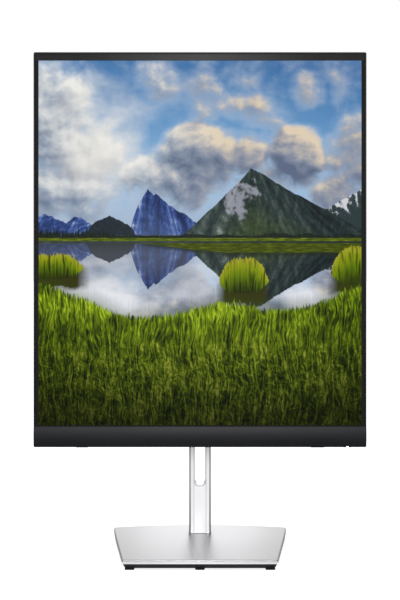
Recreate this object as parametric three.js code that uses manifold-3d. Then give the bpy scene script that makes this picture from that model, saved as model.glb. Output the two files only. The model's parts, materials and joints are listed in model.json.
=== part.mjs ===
// A computer monitor on a height-adjustable stand.
// Millimetres, +Z up, front towards -Y. The origin is on the table, under the middle of the base.
// The head holds a 27.6 inch panel with a 16:18 picture. It turns and tilts on a hinge arm, the arm
// slides up and down a square column, and the column swivels on a flat trapezoid base.
import * as THREE from "three";
import { mergeVertices } from "three/addons/utils/BufferGeometryUtils.js";
import Module from "manifold-3d";

// ---- Driving dimensions ----
const GAP = 0.3; // air between neighbouring pieces

// Display head. Its local frame: x to the right, y backwards from the front face, z up from the centre.
const PICTURE = { w: 465.6, h: 523.8 };
const BEZEL = { side: 6.1, top: 11.6, bottom: 31.6 };
const HEAD_W = PICTURE.w + 2 * BEZEL.side;
const HEAD_H = PICTURE.h + BEZEL.top + BEZEL.bottom;
const HEAD_X = HEAD_W / 2;
const HEAD_TOP = HEAD_H / 2;
const HEAD_Z = 454.5; // height of the head's centre over the table
const FRONT_Y = -85.2; // the head's front face
const HEAD_CORNER = 2.5;
const RIM = 2.2; // wall of the side frame
const FRAME_DEPTH = 12;
const CHIN_H = 29.6;
const CHIN_TOP = -HEAD_TOP + CHIN_H;
const CHIN_BULGE = 1.2;

// Rear cover: a thin slab with a deeper housing in the middle. The sockets face down from the
// housing's flat underside.
const WALL = 2.4;
const SLAB_BACK = 22;
const SLAB_ROUND = 7;
const HUMP = { x: 165, low: -135, high: 150, back: 52, slope: 16, corner: 14 };
const POCKET = { half: 66, floor: 46, corner: 8 }; // where the stand plate sits

// Hinge arm, column and base.
const TILT_Y = -3.2; // tilt axle
const COLUMN = { w: 34, front: 45.6, corner: 4, wall: 2.4, top: 530 };
const COLUMN_Y = COLUMN.front + COLUMN.w / 2; // swivel axis
const COLUMN_JOIN = 199; // top of the cast foot that the column's upper tube stands on
const CABLE_HOLE = { half: 8, low: 89, high: 167, corner: 5.5 };
const CARRIAGE = { low: 404.5, high: 504.5 };
const SLOT_LOW = 268; // lower end of the slot that the arm's neck slides in
const BASE = { front: -105.2, frontHalf: 110.9, sideHalf: 135.7, back: 105.2, top: 15, pan: 8.5, foot: 1.9 };
const ROUND = 24; // sides of a round piece

// ---- Solids ----
const wasm = await Module();
wasm.setup();

function toSolid(geometry) {
  const bare = geometry.clone();
  bare.deleteAttribute("normal");
  bare.deleteAttribute("uv");
  const merged = mergeVertices(bare, 1e-4);
  return new wasm.Manifold(
    new wasm.Mesh({
      numProp: 3,
      vertProperties: new Float32Array(merged.attributes.position.array),
      triVerts: new Uint32Array(merged.index.array),
    }),
  );
}

function toGeometry(solid) {
  const mesh = solid.getMesh();
  const geometry = new THREE.BufferGeometry();
  geometry.setAttribute("position", new THREE.BufferAttribute(mesh.vertProperties, 3));
  geometry.setIndex(new THREE.BufferAttribute(mesh.triVerts, 1));
  geometry.computeVertexNormals();
  return geometry;
}

// A block between two corners.
function block(x0, x1, y0, y1, z0, z1) {
  const geometry = new THREE.BoxGeometry(x1 - x0, y1 - y0, z1 - z0);
  geometry.translate((x0 + x1) / 2, (y0 + y1) / 2, (z0 + z1) / 2);
  return toSolid(geometry);
}

// Two x values on one side of the middle, smaller first. The side is -1 or 1.
const span = (side, near, far) => (side > 0 ? [near, far] : [-far, -near]);

// A round bar along an axis, centred on a point.
function rod(axis, radius, length, x, y, z, sides = ROUND) {
  const geometry = new THREE.CylinderGeometry(radius, radius, length, sides);
  if (axis === "x") geometry.rotateZ(Math.PI / 2);
  if (axis === "z") geometry.rotateX(Math.PI / 2);
  geometry.translate(x, y, z);
  return toSolid(geometry);
}

function roundedRect(x0, x1, y0, y1, r) {
  const shape = new THREE.Shape();
  shape.moveTo(x0 + r, y0);
  shape.lineTo(x1 - r, y0);
  shape.absarc(x1 - r, y0 + r, r, -Math.PI / 2, 0, false);
  shape.lineTo(x1, y1 - r);
  shape.absarc(x1 - r, y1 - r, r, 0, Math.PI / 2, false);
  shape.lineTo(x0 + r, y1);
  shape.absarc(x0 + r, y1 - r, r, Math.PI / 2, Math.PI, false);
  shape.lineTo(x0, y0 + r);
  shape.absarc(x0 + r, y0 + r, r, Math.PI, 1.5 * Math.PI, false);
  return shape;
}

// An outline in x and y, raised from z0 to z1, with both its edges bevelled by `edge`.
function raised(shape, z0, z1, edge = 0, rise = edge, curveSegments = 3, bevelSegments = 2) {
  const geometry = new THREE.ExtrudeGeometry(shape, {
    depth: z1 - z0 - 2 * rise,
    bevelEnabled: edge > 0,
    bevelThickness: rise,
    bevelSize: edge,
    bevelOffset: -edge,
    bevelSegments,
    curveSegments,
  });
  geometry.translate(0, 0, z0 + rise);
  return toSolid(geometry);
}

// An outline in x and z, carried backwards from y0 to y1.
function upright(shape, y0, y1, edge = 0, rise = edge, curveSegments = 3, bevelSegments = 2) {
  const geometry = new THREE.ExtrudeGeometry(shape, {
    depth: y1 - y0 - 2 * rise,
    bevelEnabled: edge > 0,
    bevelThickness: rise,
    bevelSize: edge,
    bevelOffset: -edge,
    bevelSegments,
    curveSegments,
  });
  geometry.rotateX(Math.PI / 2);
  geometry.translate(0, y1 - rise, 0);
  return toSolid(geometry);
}

// A solid through a stack of like outlines. Each level is [inset, height], lowest first.
function stacked(outlineAt, levels, curveSegments) {
  const rings = levels.map(([inset]) => {
    const points = outlineAt(inset).getPoints(curveSegments);
    return points.filter((p, i) => p.distanceTo(points[(i + 1) % points.length]) > 1e-3);
  });
  const count = rings[0].length;
  const top = count * (levels.length - 1);
  const positions = rings.flatMap((ring, k) => ring.flatMap((p) => [p.x, p.y, levels[k][1]]));
  const faces = [];
  for (const [a, b, c] of THREE.ShapeUtils.triangulateShape(rings[0], [])) faces.push(a, c, b);
  for (const [a, b, c] of THREE.ShapeUtils.triangulateShape(rings.at(-1), []))
    faces.push(a + top, b + top, c + top);
  for (let k = 0; k < top; k += count)
    for (let i = 0; i < count; i++) {
      const j = (i + 1) % count;
      faces.push(k + i, k + j, k + j + count, k + i, k + j + count, k + i + count);
    }
  const geometry = new THREE.BufferGeometry();
  geometry.setAttribute("position", new THREE.Float32BufferAttribute(positions, 3));
  geometry.setIndex(faces);
  return geometry;
}

const stackedUp = (outlineAt, levels, curveSegments = 8) =>
  toSolid(stacked(outlineAt, levels, curveSegments));

// The same, but with outlines in x and z, and each level's height measured backwards.
function stackedBack(outlineAt, levels, curveSegments = 3) {
  const reversed = levels.map(([inset, y]) => [inset, -y]).reverse();
  return toSolid(stacked(outlineAt, reversed, curveSegments).rotateX(Math.PI / 2));
}

// Levels from y0 to y1 whose far edge is rounded off by `size` over a length of `rise`.
function roundedLevels(y0, y1, size, rise, steps = 3) {
  const levels = [[0, y0]];
  for (let i = 0; i <= steps; i++) {
    const a = (Math.PI * i) / (2 * steps);
    levels.push([size * (1 - Math.cos(a)), y1 - rise + rise * Math.sin(a)]);
  }
  return levels;
}

// A profile in y and z, carried from x0 to x1.
function along(profile, x0, x1, curveSegments = 4) {
  const geometry = new THREE.ExtrudeGeometry(profile, {
    depth: x1 - x0,
    bevelEnabled: false,
    curveSegments,
  });
  geometry.rotateX(Math.PI / 2);
  geometry.rotateZ(Math.PI / 2);
  geometry.translate(x0, 0, 0);
  return toSolid(geometry);
}

// ---- Materials ----
const material = (color, roughness, metalness = 0) =>
  new THREE.MeshStandardMaterial({ color, roughness, metalness });
const LOOK = {
  bezel: material(0x2b2c30, 0.45),
  cover: material(0x1d1e21, 0.6),
  screen: material(0x0a0b0d, 0.15),
  silver: material(0xd9d9dc, 0.35, 0.8),
  brushed: material(0xc6c5c8, 0.3, 0.9),
  rubber: material(0x141416, 0.9),
  steel: material(0x8d9094, 0.4, 1),
  zinc: material(0xb9bcc0, 0.3, 1),
  board: material(0x0f4a2c, 0.6),
  white: material(0xf2f2f0, 0.5),
  clear: material(0xe8eef2, 0.1),
  light: material(0xffffff, 0.3),
  black: material(0x101113, 0.5),
  copper: material(0xb87333, 0.4, 1),
};

function piece(group, name, solid, look) {
  const mesh = new THREE.Mesh(toGeometry(solid), LOOK[look]);
  mesh.name = name;
  group.add(mesh);
  return mesh;
}

const headOutline = (inset, corner = Math.max(HEAD_CORNER - inset, 0.6)) =>
  roundedRect(-HEAD_X + inset, HEAD_X - inset, -HEAD_TOP + inset, HEAD_TOP - inset, corner);

// ---- Head: frame and bezel ----
function sideFrame() {
  const LEDGE = { front: 8.6, back: 9.6, width: 5 };
  const rim = upright(headOutline(0), 0, FRAME_DEPTH)
    .subtract(upright(headOutline(RIM), -1, FRAME_DEPTH + 1));
  const ledge = upright(headOutline(0.5), LEDGE.front, LEDGE.back)
    .subtract(upright(headOutline(RIM + LEDGE.width), LEDGE.front - 1, LEDGE.back + 1));
  const below = block(-HEAD_W, HEAD_W, -5, FRAME_DEPTH + 5, -HEAD_H, CHIN_TOP + GAP);
  return rim.add(ledge).subtract(below);
}

const LIGHT_X = 211.7; // power light and power button, near the right-hand end
const BEZEL_SKIDS = [[-178, -161], [159.5, 178]]; // two thin strips under the lower edge

function bottomBezel() {
  const LIP = 0.5; // back of the thin strip that laps over the panel's lower edge
  const FRONT_WALL = 2.2;
  const LIP_LOW = -267.5;
  const low = -HEAD_TOP;
  const profile = new THREE.Shape();
  profile.moveTo(0, CHIN_TOP);
  profile.quadraticCurveTo(-2 * CHIN_BULGE, (CHIN_TOP + low) / 2, 0.4, low + 0.8);
  profile.lineTo(1.2, low);
  profile.lineTo(FRAME_DEPTH, low);
  profile.lineTo(FRAME_DEPTH, low + RIM);
  profile.lineTo(FRONT_WALL, low + RIM);
  profile.lineTo(FRONT_WALL, LIP_LOW);
  profile.lineTo(LIP, LIP_LOW);
  profile.lineTo(LIP, CHIN_TOP);
  const channel = along(profile, -HEAD_X, HEAD_X, 8);
  const cheek = (side) => block(...span(side, HEAD_X - RIM, HEAD_X), 0.2, FRAME_DEPTH, low, CHIN_TOP);
  const outline = upright(headOutline(0), -5, FRAME_DEPTH + 5);
  const buttonHole = block(LIGHT_X - 6.5, LIGHT_X + 6.5, 4, 10, low - 1, low + RIM + 1);
  const lightHole = block(LIGHT_X - 1.8, LIGHT_X + 1.8, -3, 3.2, low - 1, low + 1.5);
  const skids = BEZEL_SKIDS.map(([x0, x1]) => block(x0, x1, 3, 9, low - 0.8, low + 1));
  return channel.add(cheek(-1)).add(cheek(1)).intersect(outline)
    .subtract(buttonHole).subtract(lightHole)
    .add(skids[0]).add(skids[1]);
}

// ---- Head: the panel's layers, from the front backwards ----
const PANEL_X = HEAD_X - RIM - GAP;
const PANEL_TOP = HEAD_TOP - RIM - GAP;
const PANEL_LOW = -266;
const layer = (inset, low, y0, y1) =>
  block(-PANEL_X + inset, PANEL_X - inset, y0, y1, low, PANEL_TOP - inset);

function panelTray() {
  const SHEET = 0.8;
  const FLOOR = 7.4;
  return layer(0, PANEL_LOW - 1.2, 2.5, FLOOR + SHEET)
    .subtract(layer(SHEET, PANEL_LOW - 1.2 + SHEET, 2, FLOOR));
}

function addPanel(head) {
  const LED_LOW = PANEL_LOW + 0.2;
  const LED_HIGH = LED_LOW + 5;
  piece(head, "lcd_cell", layer(0, PANEL_LOW, 0.8, 2.2), "screen");
  piece(head, "diffuser_films", layer(1.2, PANEL_LOW + 0.2, 2.6, 3.2), "white");
  piece(head, "light_guide_plate", layer(1.2, LED_HIGH + GAP, 3.5, 6.3), "clear");
  piece(head, "reflector_sheet", layer(1.2, PANEL_LOW + 0.2, 6.6, 7.1), "white");
  piece(head, "led_strip", block(-232, 232, 3.5, 6.3, LED_LOW, LED_HIGH), "light");
  piece(head, "panel_tray", panelTray(), "zinc");
}

// ---- Head: rear cover ----
const humpOutline = (inset) =>
  roundedRect(-HUMP.x - HUMP.slope + inset, HUMP.x + HUMP.slope - inset,
    HUMP.low - 2 * HUMP.slope, HUMP.high + HUMP.slope - inset, HUMP.corner);

// Cuts a solid off under the housing's flat underside, raised by an inset.
const cutBelow = (solid, inset) =>
  solid.subtract(block(-HEAD_W, HEAD_W, -50, 150, -HEAD_H, HUMP.low + inset));

const humpPrism = (inset, y0, y1) => cutBelow(upright(humpOutline(inset), y0, y1), inset);

function slabSolid(inset) {
  return stackedBack((e) => headOutline(inset + e, HEAD_CORNER + e),
    roundedLevels(FRAME_DEPTH + GAP - inset, SLAB_BACK - inset, SLAB_ROUND, SLAB_ROUND));
}

function humpSolid(inset) {
  const { slope, back } = HUMP;
  const bulk = stackedBack((e) => humpOutline(inset + e),
    roundedLevels(SLAB_BACK - WALL - inset, back - inset, slope, back - SLAB_BACK, 4));
  return cutBelow(bulk, inset);
}

function ventSlots() {
  const COUNT = 25;
  const PITCH = 9;
  const SLOT = { w: 4, low: 178, high: 200 };
  const slots = [];
  for (let i = 0; i < COUNT; i++) {
    const x = (i - (COUNT - 1) / 2) * PITCH;
    slots.push(block(x - SLOT.w / 2, x + SLOT.w / 2, 10, 60, SLOT.low, SLOT.high));
  }
  return wasm.Manifold.union(slots);
}

const RELEASE = { half: 14, low: -92, high: -76, travel: 2.2 };
const TONGUE = { half: 8, low: -70, high: -55, front: 48.1, back: 50.2, travel: 4.6 };
const HOOK = { xs: [-32, 32], half: 9, low: 36, high: 42 };
const JOY = { x: 205, z: -232, hole: 8, centre: 15 };

function rearCover() {
  const hollow = slabSolid(WALL)
    .add(block(-PANEL_X, PANEL_X, 0, 15, -HEAD_TOP + WALL, HEAD_TOP - WALL));
  const window = humpPrism(-GAP, 0, 60);
  const joystickHole = rod("y", JOY.hole, 20, JOY.x, SLAB_BACK, JOY.z, 24);
  return slabSolid(0).subtract(hollow).subtract(window).subtract(ventSlots()).subtract(joystickHole);
}

// The hole that a hook of the stand plate drops into.
const hookGap = (x, y0, y1) =>
  block(x - HOOK.half - 0.5, x + HOOK.half + 0.5, y0, y1, HOOK.low - 0.5, HOOK.high + 5);

function housingCover() {
  const pocket = (grow) => {
    const half = POCKET.half + grow;
    return upright(roundedRect(-half, half, -half, half, POCKET.corner), POCKET.floor - grow, 80);
  };
  const FLANGE = { out: 5, front: 17.2, back: 19.3 };
  const flange = humpPrism(-FLANGE.out, FLANGE.front, FLANGE.back)
    .add(humpPrism(0, FLANGE.front, 20))
    .subtract(humpPrism(WALL, 0, 30));
  const hollow = humpSolid(WALL).subtract(pocket(WALL));
  const shell = humpSolid(0).subtract(pocket(0)).subtract(hollow).add(flange);
  const portGap = ({ x, w, front, d }) =>
    block(x - w / 2 - 0.3, x + w / 2 + 0.3, front - 0.3, front + d + 0.3, HUMP.low - 1, HUMP.low + 4);
  const tonguePath = block(-TONGUE.half - 0.4, TONGUE.half + 0.4, TONGUE.front - 0.3, TONGUE.back + 0.3,
    TONGUE.low - TONGUE.travel - 0.6, TONGUE.high - 5);
  const cuts = [
    block(-RELEASE.half - 0.4, RELEASE.half + 0.4, 46, 60, RELEASE.low - 0.4, RELEASE.high + 0.4),
    tonguePath,
    ...HOOK.xs.map((x) => hookGap(x, 40, 48)),
    ...BOLT_HOLES.map(([x, z]) => rod("y", 3, 12, x, POCKET.floor, z, 12)),
    ...PORTS.map(portGap),
  ];
  return shell.subtract(wasm.Manifold.union(cuts));
}

// ---- Head: sockets on the housing's underside, boards and steelwork ----
const PORTS = [
  { name: "data_port_1", x: 54, front: 29, w: 13.1, d: 5.8, deep: 14, tongue: 1.8 },
  { name: "data_port_2", x: 34, front: 29, w: 13.1, d: 5.8, deep: 14, tongue: 1.8 },
  { name: "data_port_small", x: 14, front: 29, w: 9, d: 3.4, deep: 9, tongue: 0.7 },
  { name: "video_port_wide", x: -8, front: 29, w: 17, d: 6, deep: 11, tongue: 1.4 },
  { name: "video_port_slim", x: -34, front: 29, w: 15, d: 5.6, deep: 11, tongue: 1.2 },
  { name: "power_inlet", x: -112, front: 28.6, w: 27.4, d: 19.8, deep: 20, tongue: 0 },
];

// A metal shell open at the bottom, with its contact tongue.
function socket({ x, front, w, d, deep, tongue }) {
  const SHELL = 0.6;
  const low = HUMP.low - 0.5;
  const shell = block(x - w / 2, x + w / 2, front, front + d, low, low + deep);
  const mouth = block(x - w / 2 + SHELL, x + w / 2 - SHELL, front + SHELL, front + d - SHELL,
    low - 1, low + deep - SHELL);
  const middle = front + d / 2;
  const blade = block(x - w / 2 + 2, x + w / 2 - 2, middle - tongue / 2, middle + tongue / 2,
    low + 1.5, low + deep - SHELL / 2);
  return shell.subtract(mouth).add(blade);
}

// The mains inlet: a plastic well with two cut corners and three flat pins.
function mainsInlet({ x, front, w, d, deep }) {
  const SHELL = 1.6;
  const PIN = { w: 2, d: 4, long: 14 };
  const low = HUMP.low - 0.5;
  const well = new THREE.Shape();
  const [x0, x1] = [x - w / 2 + SHELL, x + w / 2 - SHELL];
  const [y0, y1] = [front + SHELL, front + d - SHELL];
  const CUT = 5;
  well.moveTo(x0 + CUT, y0);
  well.lineTo(x1 - CUT, y0);
  well.lineTo(x1, y0 + CUT);
  well.lineTo(x1, y1);
  well.lineTo(x0, y1);
  well.lineTo(x0, y0 + CUT);
  const shell = block(x - w / 2, x + w / 2, front, front + d, low, low + deep)
    .subtract(raised(well, low - 1, low + deep - SHELL));
  const pins = [[-7, y1 - 5], [7, y1 - 5], [0, y0 + 4.2]].map(([dx, y]) =>
    block(x + dx - PIN.w / 2, x + dx + PIN.w / 2, y - PIN.d / 2, y + PIN.d / 2,
      low + deep - SHELL - PIN.long, low + deep - SHELL / 2));
  return pins.reduce((all, pin) => all.add(pin), shell);
}

const BOLT_HALF = 50; // 100 by 100 mounting holes
const BOLT_HOLES = [[-1, -1], [1, -1], [-1, 1], [1, 1]].map(([i, j]) => [i * BOLT_HALF, j * BOLT_HALF]);

function mountBridge() {
  const TOP = { front: 40.8, back: 43.2 };
  const LEG_X = 70;
  const SHEET = 1.6;
  const HALF = 64;
  const plate = block(-LEG_X, LEG_X, TOP.front, TOP.back, -HALF, HALF);
  const LOW = 10.6;
  const leg = (side) => block(...span(side, LEG_X - SHEET, LEG_X), LOW, TOP.back, -HALF, HALF);
  const foot = (side) => block(...span(side, LEG_X - SHEET, LEG_X + 14), LOW, LOW + SHEET, -HALF, HALF);
  const cuts = [
    ...BOLT_HOLES.map(([x, z]) => rod("y", 1.9, 10, x, TOP.front, z, 12)),
    ...HOOK.xs.map((x) => hookGap(x, 38, 46)),
  ];
  return plate.add(leg(-1)).add(leg(1)).add(foot(-1)).add(foot(1)).subtract(wasm.Manifold.union(cuts));
}

function chassis() {
  const HALF_X = 170;
  const HALF_Z = 150;
  const FLANGE = 5;
  const sheet = block(-HALF_X, HALF_X, 8.8, 10, -HALF_Z, HALF_Z);
  const flange = (z) => block(-HALF_X, HALF_X, 8.8, 8.8 + FLANGE, z - 0.6, z + 0.6);
  return sheet.add(flange(-HALF_Z + 0.6)).add(flange(HALF_Z - 0.6));
}

function mainBoard() {
  const BOARD = { front: 27, back: 28.6 };
  // Each chip is [x, z, side, height].
  const CHIPS = [
    [-40, -70, 16, 4], [10, -60, 22, 3], [44, -95, 14, 6], [-20, -100, 10, 3], [38, -40, 12, 5],
  ];
  const board = block(-66, 66, BOARD.front, BOARD.back, -131, -12);
  const chips = CHIPS.map(([x, z, side, tall]) =>
    block(x - side / 2, x + side / 2, BOARD.back - 0.2, BOARD.back + tall, z - side / 2, z + side / 2));
  return wasm.Manifold.union([board, ...chips]);
}

function powerBoard() {
  const CAPACITORS = [[-96, -60], [-96, -38], [-148, -10]];
  const board = block(-158, -82, 20, 21.6, -131, 20);
  const transformer = block(-140, -106, 21.4, 44, -70, -38);
  const coil = block(-104, -90, 21.4, 38, -108, -92);
  const capacitors = CAPACITORS.map(([x, z]) => rod("y", 7, 20, x, 31, z, 20));
  return wasm.Manifold.union([board, transformer, coil, ...capacitors]);
}

function timingBoard() {
  return block(-90, 90, 9, 10.4, -244, -214)
    .add(block(-16, 16, 10.2, 12, -238, -224))
    .add(block(34, 66, 10.2, 12.6, -222, -217));
}

// The flat cable from the timing board up to the main board.
function ribbonCable() {
  const HALF = 13;
  const THICK = 0.5;
  const X = 50;
  const COURSE = [
    [13.2, -219], [13.8, -200], [14.4, -165], [15, -140], [15.8, -126], [19.5, -112], [24, -102], [26.2, -90],
  ];
  const path = new THREE.CatmullRomCurve3(COURSE.map(([y, z]) => new THREE.Vector3(X, y, z)));
  const tape = new THREE.Shape();
  tape.moveTo(-HALF, -THICK / 2);
  tape.lineTo(HALF, -THICK / 2);
  tape.lineTo(HALF, THICK / 2);
  tape.lineTo(-HALF, THICK / 2);
  const geometry = new THREE.ExtrudeGeometry(tape, { steps: 14, extrudePath: path });
  return toSolid(geometry);
}

function addElectronics(head) {
  piece(head, "chassis_plate", chassis(), "zinc");
  piece(head, "mount_bridge", mountBridge(), "steel");
  piece(head, "main_board", mainBoard(), "board");
  piece(head, "power_board", powerBoard(), "board");
  piece(head, "timing_board", timingBoard(), "board");
  piece(head, "ribbon_cable", ribbonCable(), "white");
  for (const port of PORTS) {
    const mains = port.name === "power_inlet";
    piece(head, port.name, mains ? mainsInlet(port) : socket(port), mains ? "black" : "zinc");
  }
}

// ---- Head: controls ----
function powerButton() {
  const low = -HEAD_TOP - 0.9;
  return block(LIGHT_X - 6.1, LIGHT_X + 6.1, 4.4, 9.6, low, low + 4)
    .add(block(LIGHT_X - 7.4, LIGHT_X + 7.4, 4.4, 9.6, low + 3.6, low + 4.6));
}

function powerLight() {
  return block(LIGHT_X - 1.5, LIGHT_X + 1.5, 0.2, 2.9, -HEAD_TOP - 0.7, -HEAD_TOP + 1.2)
    .add(block(LIGHT_X - 1, LIGHT_X + 1, 1, 1.9, -HEAD_TOP + 1, -HEAD_TOP + 1.4));
}

function addControls(head) {
  piece(head, "power_button", powerButton(), "black");
  piece(head, "power_light", powerLight(), "light");
  piece(head, "button_board", block(LIGHT_X - 14, LIGHT_X + 14, 3, 11, -275, -273.6), "board");
  const { x, z, centre } = JOY;
  const ring = rod("y", 6.5, 2, x, centre, z, 20).subtract(rod("y", 4.2, 4, x, centre, z, 20));
  piece(head, "joystick_yoke", ring, "black");
  piece(head, "joystick_stem", rod("y", 2.2, 7, x, centre + 1.5, z, 16), "black");
  const cap = rod("y", 5.6, 2.6, x, SLAB_BACK + 0.6, z, 24)
    .add(rod("y", 4.4, 1, x, SLAB_BACK + 2.3, z, 24));
  piece(head, "joystick_cap", cap, "black");
  const button = upright(
    roundedRect(-RELEASE.half, RELEASE.half, RELEASE.low, RELEASE.high, 2), 49.4, 53.4, 0.6);
  piece(head, "release_button", button, "black");
  piece(head, "latch_tongue",
    block(-TONGUE.half, TONGUE.half, TONGUE.front, TONGUE.back, TONGUE.low, TONGUE.high), "steel");
}

// ---- Stand plate and pivot, which turn with the head ----
function standPlate() {
  const HALF = 59;
  const [front, back] = [POCKET.floor + GAP, 50.3];
  const plate = upright(roundedRect(-HALF, HALF, -HALF, HALF, 8), front, back, 0.6);
  const lip = block(-TONGUE.half - 1, TONGUE.half + 1, TONGUE.front - 0.3, 60, -HALF - 1, TONGUE.high + 1);
  const boss = rod("y", 22, 1, 0, back + 0.4, 0);
  const hooks = HOOK.xs.map((x) =>
    block(x - HOOK.half, x + HOOK.half, 38.4, front + 1, HOOK.low, HOOK.low + 2)
      .add(block(x - HOOK.half, x + HOOK.half, 38.4, 40.4, HOOK.low, HOOK.high + 4)));
  return hooks.reduce((all, hook) => all.add(hook), plate.add(boss).subtract(lip));
}

function addPivot(head) {
  piece(head, "stand_plate", standPlate(), "silver");
  const shaft = rod("y", 15, 2, 0, 52.2, 0).add(rod("y", 6, 14, 0, 59, 0));
  piece(head, "pivot_shaft", shaft, "steel");
  const nut = rod("y", 12, 5, 0, 62, 0, 6).subtract(rod("y", 6.3, 8, 0, 62, 0));
  piece(head, "pivot_nut", nut, "zinc");
}

// ---- Tilt bracket: holds the pivot and swings on the tilt axle ----
// Its frame's origin is on the tilt axle.
const EAR = { in: 21, out: 24, radius: 12 };
const AXLE_R = 5;

function tiltBracket() {
  const [front, back] = [FRONT_Y + 53.5 - TILT_Y, FRONT_Y + 57 - TILT_Y];
  const disc = rod("y", 40, back - front, 0, (front + back) / 2, 0)
    .subtract(rod("y", 6.3, 20, 0, back, 0));
  const ear = (side) => {
    const [x0, x1] = span(side, EAR.in, EAR.out);
    return block(x0, x1, back - 1, 0, -EAR.radius, EAR.radius)
      .add(rod("x", EAR.radius, x1 - x0, (x0 + x1) / 2, 0, 0));
  };
  return disc.add(ear(-1)).add(ear(1)).subtract(rod("x", AXLE_R + 0.3, 100, 0, 0, 0));
}

function torsionSpring() {
  const WIRE = 1.1;
  const TURNS = 5;
  const RADIUS = 8;
  const HALF = 15;
  const points = [];
  const STEPS_PER_TURN = 10;
  for (let i = 0; i <= TURNS * STEPS_PER_TURN; i++) {
    const a = (2 * Math.PI * i) / STEPS_PER_TURN;
    const x = -HALF + (2 * HALF * i) / (TURNS * STEPS_PER_TURN);
    points.push(new THREE.Vector3(x, RADIUS * Math.cos(a), RADIUS * Math.sin(a)));
  }
  const wire = new THREE.Shape();
  wire.absarc(0, 0, WIRE, 0, 2 * Math.PI, false);
  const geometry = new THREE.ExtrudeGeometry(wire, {
    steps: TURNS * STEPS_PER_TURN,
    curveSegments: 3,
    extrudePath: new THREE.CatmullRomCurve3(points),
  });
  return toSolid(geometry);
}

// ---- Carriage: the arm, and the block that slides in the column ----
const ARM = { in: 25, out: 30, radius: 14, plate: [27.8 - TILT_Y, 33.8 - TILT_Y], half: 34 };

function hingeArm() {
  const [front, back] = ARM.plate;
  const ear = (side) => {
    const [x0, x1] = span(side, ARM.in, ARM.out);
    const profile = new THREE.Shape();
    profile.moveTo(0, -ARM.radius);
    profile.lineTo(back, -ARM.half);
    profile.lineTo(back, ARM.half);
    profile.lineTo(0, ARM.radius);
    return along(profile, x0, x1).add(rod("x", ARM.radius, x1 - x0, (x0 + x1) / 2, 0, 0));
  };
  const plate = block(-ARM.out, ARM.out, front, back, -ARM.half, ARM.half);
  const neck = block(-6.8, 6.8, back - 1, COLUMN.front + 5.2 - TILT_Y, -ARM.half, ARM.half);
  const bore = rod("x", AXLE_R + 0.3, 100, 0, 0, 0);
  return ear(-1).add(ear(1)).add(plate).add(neck).subtract(bore);
}

function armCover() {
  const HALF = { x: 37, z: 42 };
  const [front, back] = [-10.2 - TILT_Y, 43.3 - TILT_Y];
  const SHELL = 2.2;
  const outline = (e, r) => roundedRect(-HALF.x + e, HALF.x - e, -HALF.z + e, HALF.z - e, r);
  const outer = upright(outline(0, 12), front, back, 2);
  const inner = upright(outline(SHELL, 10), front - 5, back - SHELL);
  const slot = block(-8, 8, 0, 80, -ARM.half - 1, ARM.half + 1);
  return outer.subtract(inner).subtract(slot);
}

function tiltAxle() {
  const HEAD = { radius: 8, x: 32 };
  const heads = [-1, 1].map((side) => rod("x", HEAD.radius, 2, side * HEAD.x, 0, 0));
  return rod("x", AXLE_R, 66, 0, 0, 0).add(heads[0]).add(heads[1]);
}

function addHinge(hinge) {
  piece(hinge, "tilt_bracket", tiltBracket(), "steel");
  piece(hinge, "tilt_axle", tiltAxle(), "zinc");
  piece(hinge, "torsion_spring", torsionSpring(), "zinc");
  piece(hinge, "hinge_arm", hingeArm(), "steel");
  piece(hinge, "arm_cover", armCover(), "silver");
}

const RAIL = { in: 12.4, out: 14.4, half: 11 };

function addCarriage(column) {
  const [front, back] = [COLUMN.front + 5.6 - COLUMN_Y, COLUMN.front + 30.4 - COLUMN_Y];
  const { low, high } = CARRIAGE;
  piece(column, "carriage_block", block(-10.2, 10.2, front, back, low, high), "steel");
  for (const [name, side] of [["slide_pad_left", -1], ["slide_pad_right", 1]])
    piece(column, name, block(...span(side, 10.5, 12.1), front + 2, back - 2, low + 4, high - 4), "white");
}

// ---- Column: its local origin is on the swivel axis ----
const columnOutline = (inset) => {
  const half = COLUMN.w / 2 - inset;
  return roundedRect(-half, half, -half, half, COLUMN.corner - inset);
};

// A length of the column's outside, with the shallow groove down its front.
function columnBar(z0, z1) {
  const GROOVE = { face: 10.6, floor: 8.6, deep: 0.9 };
  const face = -COLUMN.w / 2;
  const groove = new THREE.Shape();
  groove.moveTo(-GROOVE.face - 2, face - 0.9);
  groove.lineTo(GROOVE.face + 2, face - 0.9);
  groove.lineTo(GROOVE.floor, face + GROOVE.deep);
  groove.lineTo(-GROOVE.floor, face + GROOVE.deep);
  return raised(columnOutline(0), z0, z1).subtract(raised(groove, z0 - 1, z1 + 1));
}

function columnTube() {
  const { w, wall, top } = COLUMN;
  const { half } = CABLE_HOLE;
  const low = COLUMN_JOIN + GAP;
  const hollow = raised(columnOutline(wall), low - 1, top + 1);
  const slot = block(-half, half, -w, -w / 2 + wall + 1, SLOT_LOW, top + 1);
  return columnBar(low, top).subtract(hollow).subtract(slot);
}

// The column's cast foot, with the hole for cables right through it.
function columnFoot() {
  const { half, low, high, corner } = CABLE_HOLE;
  const foot = BASE.top + GAP;
  const hole = upright(roundedRect(-half, half, low, high, corner), -50, 50, 0, 0, 8);
  const hubRecess = block(-14.3, 14.3, -14.1, 14.1, foot - 1, foot + 5);
  return columnBar(foot, COLUMN_JOIN).subtract(hole).subtract(hubRecess);
}

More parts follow.
